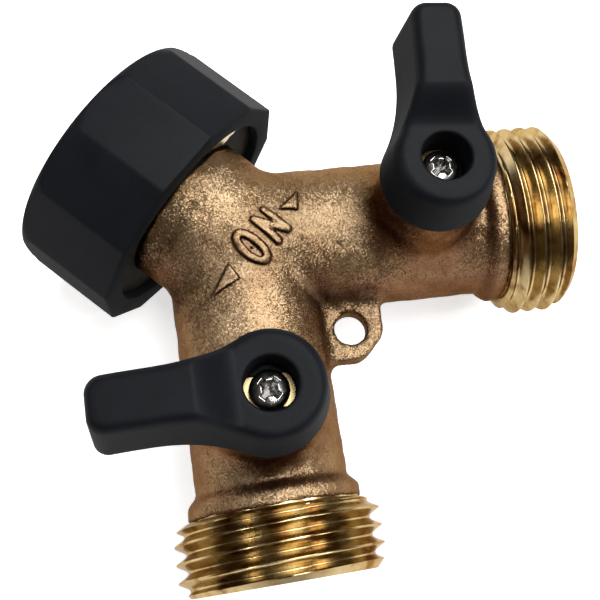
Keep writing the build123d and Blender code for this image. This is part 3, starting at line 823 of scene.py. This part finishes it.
def ramp(tree, value, stops):
    """A colour or grey picked by a value, from (position, colour) stops."""
    node = add(tree, "ShaderNodeValToRGB", {"Fac": value})
    bar = node.color_ramp
    while len(bar.elements) < len(stops):
        bar.elements.new(0.5)
    for element, (position, colour) in zip(bar.elements, stops):
        element.position = position
        element.color = (*colour, 1) if isinstance(colour, tuple) else (colour, colour, colour, 1)
    return node.outputs["Color"]


def bump(tree, height, depth, strength=1.0, normal=None):
    """A bump of the given depth in millimetres, on top of another one if normal is given."""
    inputs = {"Height": height, "Distance": depth * METRES, "Strength": strength}
    if normal is not None:
        inputs["Normal"] = normal
    return add(tree, "ShaderNodeBump", inputs).outputs["Normal"]


def facets(tree, place, scale, tilt, normal):
    """The normal turned a random way in each grain, as on a blasted surface."""
    cells = add(tree, "ShaderNodeTexVoronoi", {"Vector": place, "Scale": scale}, feature="F1")
    spread = vector_node(tree, "SUBTRACT", {0: cells.outputs["Color"], 1: (0.5, 0.5, 0.5)})
    spread = vector_node(tree, "SCALE", {0: spread, "Scale": tilt})
    turned = vector_node(tree, "ADD", {0: normal, 1: spread})
    return vector_node(tree, "NORMALIZE", {0: turned})


def wire(tree, principled, sockets):
    """Links sockets into the shader by input name."""
    for key, socket in sockets.items():
        tree.links.new(socket, principled.inputs[key])


def cast_brass():
    """Blasted cast brass: a sparkling grain, with painted light making it golden on top, painted shade making it
    browner down its sides, and painted shade in its creases.
    """
    made, tree, shader = new_material("cast_brass", Metallic=1.0, Specular_Tint=METAL_EDGE_TINT)
    place = in_millimetres(tree)
    patches = noise(tree, place, scale=0.25, detail=4.0, roughness=0.6)
    grain = noise(tree, place, scale=4.5, detail=2.0, roughness=0.6)
    tone = math_node(tree, "MULTIPLY_ADD", patches, TONE_BY_PATCH, TONE_OFFSET)
    # Painted light and shade: lighter where the surface faces up, darker down the sides.
    tone = math_node(tree, "MULTIPLY_ADD", upwardness(tree), PAINTED_LIGHT_BY_UPWARD, tone)
    tone = math_node(tree, "MULTIPLY_ADD", grain, TONE_BY_GRAIN, tone)
    crease = add(tree, "ShaderNodeAttribute", attribute_name="crease_shade").outputs["Fac"]
    # Painted shade: the colour is mixed towards a dark tone as far as each point lies in a crease.
    crease_shade_mix = add(tree, "ShaderNodeMix", {"Factor": crease}, data_type="RGBA")
    tree.links.new(ramp(tree, tone, BODY_TONES), crease_shade_mix.inputs["A"])
    crease_shade_mix.inputs["B"].default_value = (*CREASE_SHADE_TONE, 1)
    colour = crease_shade_mix.outputs["Result"]
    rough = ramp(tree, grain, [(0.3, 0.34), (0.7, 0.50)])
    normal = bump(tree, grain, depth=0.05, strength=0.7)
    normal = facets(tree, place, scale=6.8, tilt=0.52, normal=normal)
    wire(tree, shader, {"Base Color": colour, "Roughness": rough, "Normal": normal})
    return made


def turned_metal(name, axis, roughness, tones=TURNED_TONES):
    """Bright brass turned around an axis, with fine tool marks and faint brown stains."""
    made, tree, shader = new_material(name, Metallic=1.0, Specular_Tint=METAL_EDGE_TINT)
    place = in_millimetres(tree)
    along = add(tree, "ShaderNodeVectorMath", {0: place, 1: tuple(axis)}, operation="DOT_PRODUCT")
    inputs = {"W": along.outputs["Value"], "Scale": 9.0, "Detail": 3.0}
    lines = add(tree, "ShaderNodeTexNoise", inputs, noise_dimensions="1D").outputs["Fac"]
    stain = noise(tree, place, scale=0.30, detail=4.0, roughness=0.65)
    colour = ramp(tree, stain, tones)
    rough = ramp(tree, stain, [(0.3, roughness), (0.7, roughness * 1.5)])
    normal = bump(tree, lines, depth=0.004, strength=0.5)
    wire(tree, shader, {"Base Color": colour, "Roughness": rough, "Normal": normal})
    return made


def insert_metal():
    """The nut's insert: bright inside, with its back face painted near-black as shade all round but at its top."""
    made, tree, shader = new_material(
        "insert_brass", Specular_Tint=METAL_EDGE_TINT, Specular_IOR_Level=0.05)
    place = in_millimetres(tree)
    parts = add(tree, "ShaderNodeSeparateXYZ", {"Vector": place})
    clouds = noise(tree, place, scale=0.30, detail=4.0, roughness=0.65)
    behind = math_node(tree, "LESS_THAN", parts.outputs["Y"], NUT_BACK_Y + SHELL_WALL + PAINTED_SHADE_DEPTH)
    height = math_node(tree, "MULTIPLY_ADD", clouds, PAINTED_SHADE_RAGGED, parts.outputs["Z"])
    below = math_node(tree, "LESS_THAN", height, PAINTED_SHADE_TOP_Z)
    # Painted shade: below a ragged height the back face is made a dull, non-metallic near-black.
    painted_shade = math_node(tree, "MULTIPLY", behind, below)
    unshaded = add(tree, "ShaderNodeMix", {"Factor": behind}, data_type="RGBA")
    tree.links.new(ramp(tree, clouds, TURNED_TONES), unshaded.inputs["A"])
    unshaded.inputs["B"].default_value = (*FACED_TONE, 1)
    colour = add(tree, "ShaderNodeMix", {"Factor": painted_shade}, data_type="RGBA")
    tree.links.new(unshaded.outputs["Result"], colour.inputs["A"])
    tree.links.new(ramp(tree, clouds, PAINTED_SHADE_TONES), colour.inputs["B"])
    metallic = math_node(tree, "SUBTRACT", 1.0, painted_shade)
    rough = math_node(tree, "MULTIPLY_ADD", painted_shade, PAINTED_SHADE_ROUGHER, INSERT_ROUGHNESS)
    wire(tree, shader, {"Base Color": colour.outputs["Result"], "Metallic": metallic, "Roughness": rough})
    wire(tree, shader, {"Normal": bump(tree, noise(tree, place, scale=8.0), depth=0.01, strength=0.4)})
    return made


def moulded_plastic():
    """Matte black moulded plastic with a very fine texture, smoother where it faces up."""
    made, tree, shader = new_material("black_plastic", Specular_IOR_Level=0.10)
    place = in_millimetres(tree)
    fine = noise(tree, place, scale=4.5, detail=3.0, roughness=0.6)
    broad = noise(tree, place, scale=0.25, detail=3.0, roughness=0.5)
    colour = ramp(tree, broad, PLASTIC_TONES)
    upward = math_node(tree, "MAXIMUM", upwardness(tree), 0.0)
    rough = math_node(tree, "MULTIPLY_ADD", upward, PLASTIC_BY_UPWARD, PLASTIC_ROUGHNESS)
    rough = math_node(tree, "MULTIPLY_ADD", fine, PLASTIC_BY_GRAIN, rough)
    normal = bump(tree, fine, depth=0.030, strength=0.6)
    wire(tree, shader, {"Base Color": colour, "Roughness": rough, "Normal": normal})
    return made


def plated(name, low, high, roughness):
    """Plated metal with faint clouding and a very fine grain."""
    made, tree, shader = new_material(name, Metallic=1.0)
    place = in_millimetres(tree)
    cloud = noise(tree, place, scale=1.2, detail=3.0, roughness=0.6)
    colour = ramp(tree, cloud, [(0.3, low), (0.7, high)])
    rough = ramp(tree, cloud, [(0.3, roughness), (0.7, roughness * 1.6)])
    normal = bump(tree, noise(tree, place, scale=8.0), depth=0.01, strength=0.4)
    wire(tree, shader, {"Base Color": colour, "Roughness": rough, "Normal": normal})
    return made


def soft_part(name, low, high, roughness, grain):
    """Rubber or slippery plastic with a fine even grain."""
    made, tree, shader = new_material(name)
    place = in_millimetres(tree)
    broad = noise(tree, place, scale=0.5, detail=3.0, roughness=0.5)
    colour = ramp(tree, broad, [(0.3, low), (0.7, high)])
    rough = ramp(tree, broad, [(0.3, roughness), (0.7, roughness * 1.2)])
    normal = bump(tree, noise(tree, place, scale=grain), depth=0.02, strength=0.5)
    wire(tree, shader, {"Base Color": colour, "Roughness": rough, "Normal": normal})
    return made


def white_floor():
    """A softly glowing pale floor that keeps its contact shadows faint."""
    made, tree, shader = new_material(
        "pale_floor", Roughness=0.9, Emission_Color=(1, 1, 1, 1), Emission_Strength=FLOOR_GLOW)
    place = in_millimetres(tree)
    colour = ramp(tree, noise(tree, place, scale=0.01), FLOOR_TONES)
    wire(tree, shader, {"Base Color": colour})
    return made


# ---- Setting ----
def make_floor():
    """A wide floor just under the lowest part of the nut."""
    work = bmesh.new()
    bmesh.ops.create_grid(work, x_segments=8, y_segments=8, size=FLOOR_HALF_SIZE)
    floor = finished("floor", work)
    floor.location.z = cad_box[0].z - FLOOR_GAP
    floor.data.materials.append(white_floor())


def softbox(name, place, width, length, power, turn=INLET_AXIS):
    """A rectangular light at a place in metres, aimed at the object, its length along turn."""
    light = bpy.data.lights.new(name, "AREA")
    light.shape = "RECTANGLE"
    light.size, light.size_y = width, length
    light.energy = power
    lamp = bpy.data.objects.new(name, light)
    lamp.location = place
    back = (Vector(place) - Vector(JUNCTION) * METRES).normalized()
    side = Vector(turn).cross(back).normalized()
    lamp.rotation_euler = Matrix([side, back.cross(side), back]).transposed().to_euler()
    bpy.context.scene.collection.objects.link(lamp)


def make_lights():
    """A dark studio with a main box, one at its side, a broad one overhead and two narrow strips."""
    world = bpy.data.worlds.new("studio")
    world.use_nodes = True
    background = world.node_tree.nodes["Background"]
    background.inputs["Color"].default_value = WORLD_COLOUR
    background.inputs["Strength"].default_value = WORLD_STRENGTH
    bpy.context.scene.world = world
    softbox("key", (0.38, 0.12, 0.57), 0.30, 0.30, 3.1)
    softbox("side", (0.30, -0.40, 0.52), 0.16, 0.30, 2.4, turn=LEG_AXIS["left"])
    softbox("overhead", (0.12, -0.10, 0.73), 0.34, 0.34, 2.8)
    softbox("left_strip", (-0.30, 0.42, 0.66), 0.03, 0.5, 1.7, turn=LEG_AXIS["left"])
    softbox("right_strip", (0.02, -0.38, 0.68), 0.02, 0.5, 1.0, turn=LEG_AXIS["right"])


def make_camera():
    """The camera, placed and turned as for the photograph."""
    data = bpy.data.cameras.new("camera")
    data.lens, data.sensor_width = CAMERA_LENS, CAMERA_SENSOR
    data.shift_x, data.shift_y = CAMERA_SHIFT
    camera = bpy.data.objects.new("camera", data)
    right, up = Vector(CAMERA_RIGHT), Vector(CAMERA_UP)
    back = right.cross(up)
    turn = np.array([right, up, back]).T
    camera.rotation_euler = Matrix(turn.tolist()).to_euler()
    camera.location = Vector(CAMERA_AT) * METRES
    bpy.context.scene.collection.objects.link(camera)
    bpy.context.scene.camera = camera


def dress(piece, body, material, slot, *nodes):
    """Puts a finished piece on its body, in place of CAD nodes, with its material. The slot argument is not used.
    """
    piece.data.materials.clear()
    piece.data.materials.append(material)
    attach(piece, body)
    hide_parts(*nodes)


def dress_nodes(names, material):
    """Gives carried-over CAD nodes a material."""
    for name in names:
        data = frame["nodes"][name].data
        data.materials.clear()
        data.materials.append(material)


plastic = moulded_plastic()
nickel = plated("nickel_screw", (0.27, 0.265, 0.255), (0.40, 0.39, 0.375), roughness=0.17)
ball_plate = plated("plated_ball", (0.70, 0.71, 0.72), (0.82, 0.83, 0.84), roughness=0.08)
spring_steel = plated("spring_steel", (0.36, 0.36, 0.37), (0.50, 0.50, 0.51), roughness=0.30)
rubber = soft_part("black_rubber", (0.018, 0.018, 0.018), (0.032, 0.032, 0.033), roughness=0.60, grain=3.0)
white_seat = soft_part("white_seat", (0.82, 0.82, 0.79), (0.90, 0.90, 0.88), roughness=0.30, grain=2.0)
nut_brass = insert_metal()
# The tail inside the nut is painted near-black as shade.
tail_painted_shade = turned_metal("tail_painted_shade", INLET_AXIS, roughness=0.40, tones=PAINTED_SHADE_TONES)
stem_brass = turned_metal("stem_brass", UP, roughness=0.20)

dress(make_cast_body(), "splitter", cast_brass(), "cast_brass", "body")
dress(make_inlet_tail(), "splitter", tail_painted_shade, "cast_brass", "body")
dress(make_nut_grip(), "swivel_nut", plastic, "black_plastic", "nut_shell")
dress(make_nut_core(), "swivel_nut", nut_brass, "machined_brass", "nut_insert")
levers, screws = make_levers(), make_screws()
for side, axis in LEG_AXIS.items():
    thread_brass = turned_metal(f"{side}_outlet_brass", axis, roughness=0.19)
    dress(make_outlet(side), "splitter", thread_brass, "cast_brass", "body")
    dress(levers[side], f"{side}_valve", plastic, "black_plastic", f"{side}_handle")
    dress(screws[side], f"{side}_valve", nickel, "nickel_screw", f"{side}_handle_screw")
    dress_nodes([f"{side}_seat_retainer"], thread_brass)
    dress_nodes([f"{side}_stem"], stem_brass)
    dress_nodes([f"{side}_ball"], ball_plate)
    dress_nodes([f"{side}_stem_o_rings"], rubber)
    dress_nodes([f"{side}_inner_seat", f"{side}_outer_seat", f"{side}_stem_washer"], white_seat)
dress_nodes(["inlet_washer"], rubber)
dress_nodes(["nut_snap_ring"], spring_steel)

make_floor()
make_lights()
make_camera()
bpy.context.scene.view_settings.view_transform = "Standard"
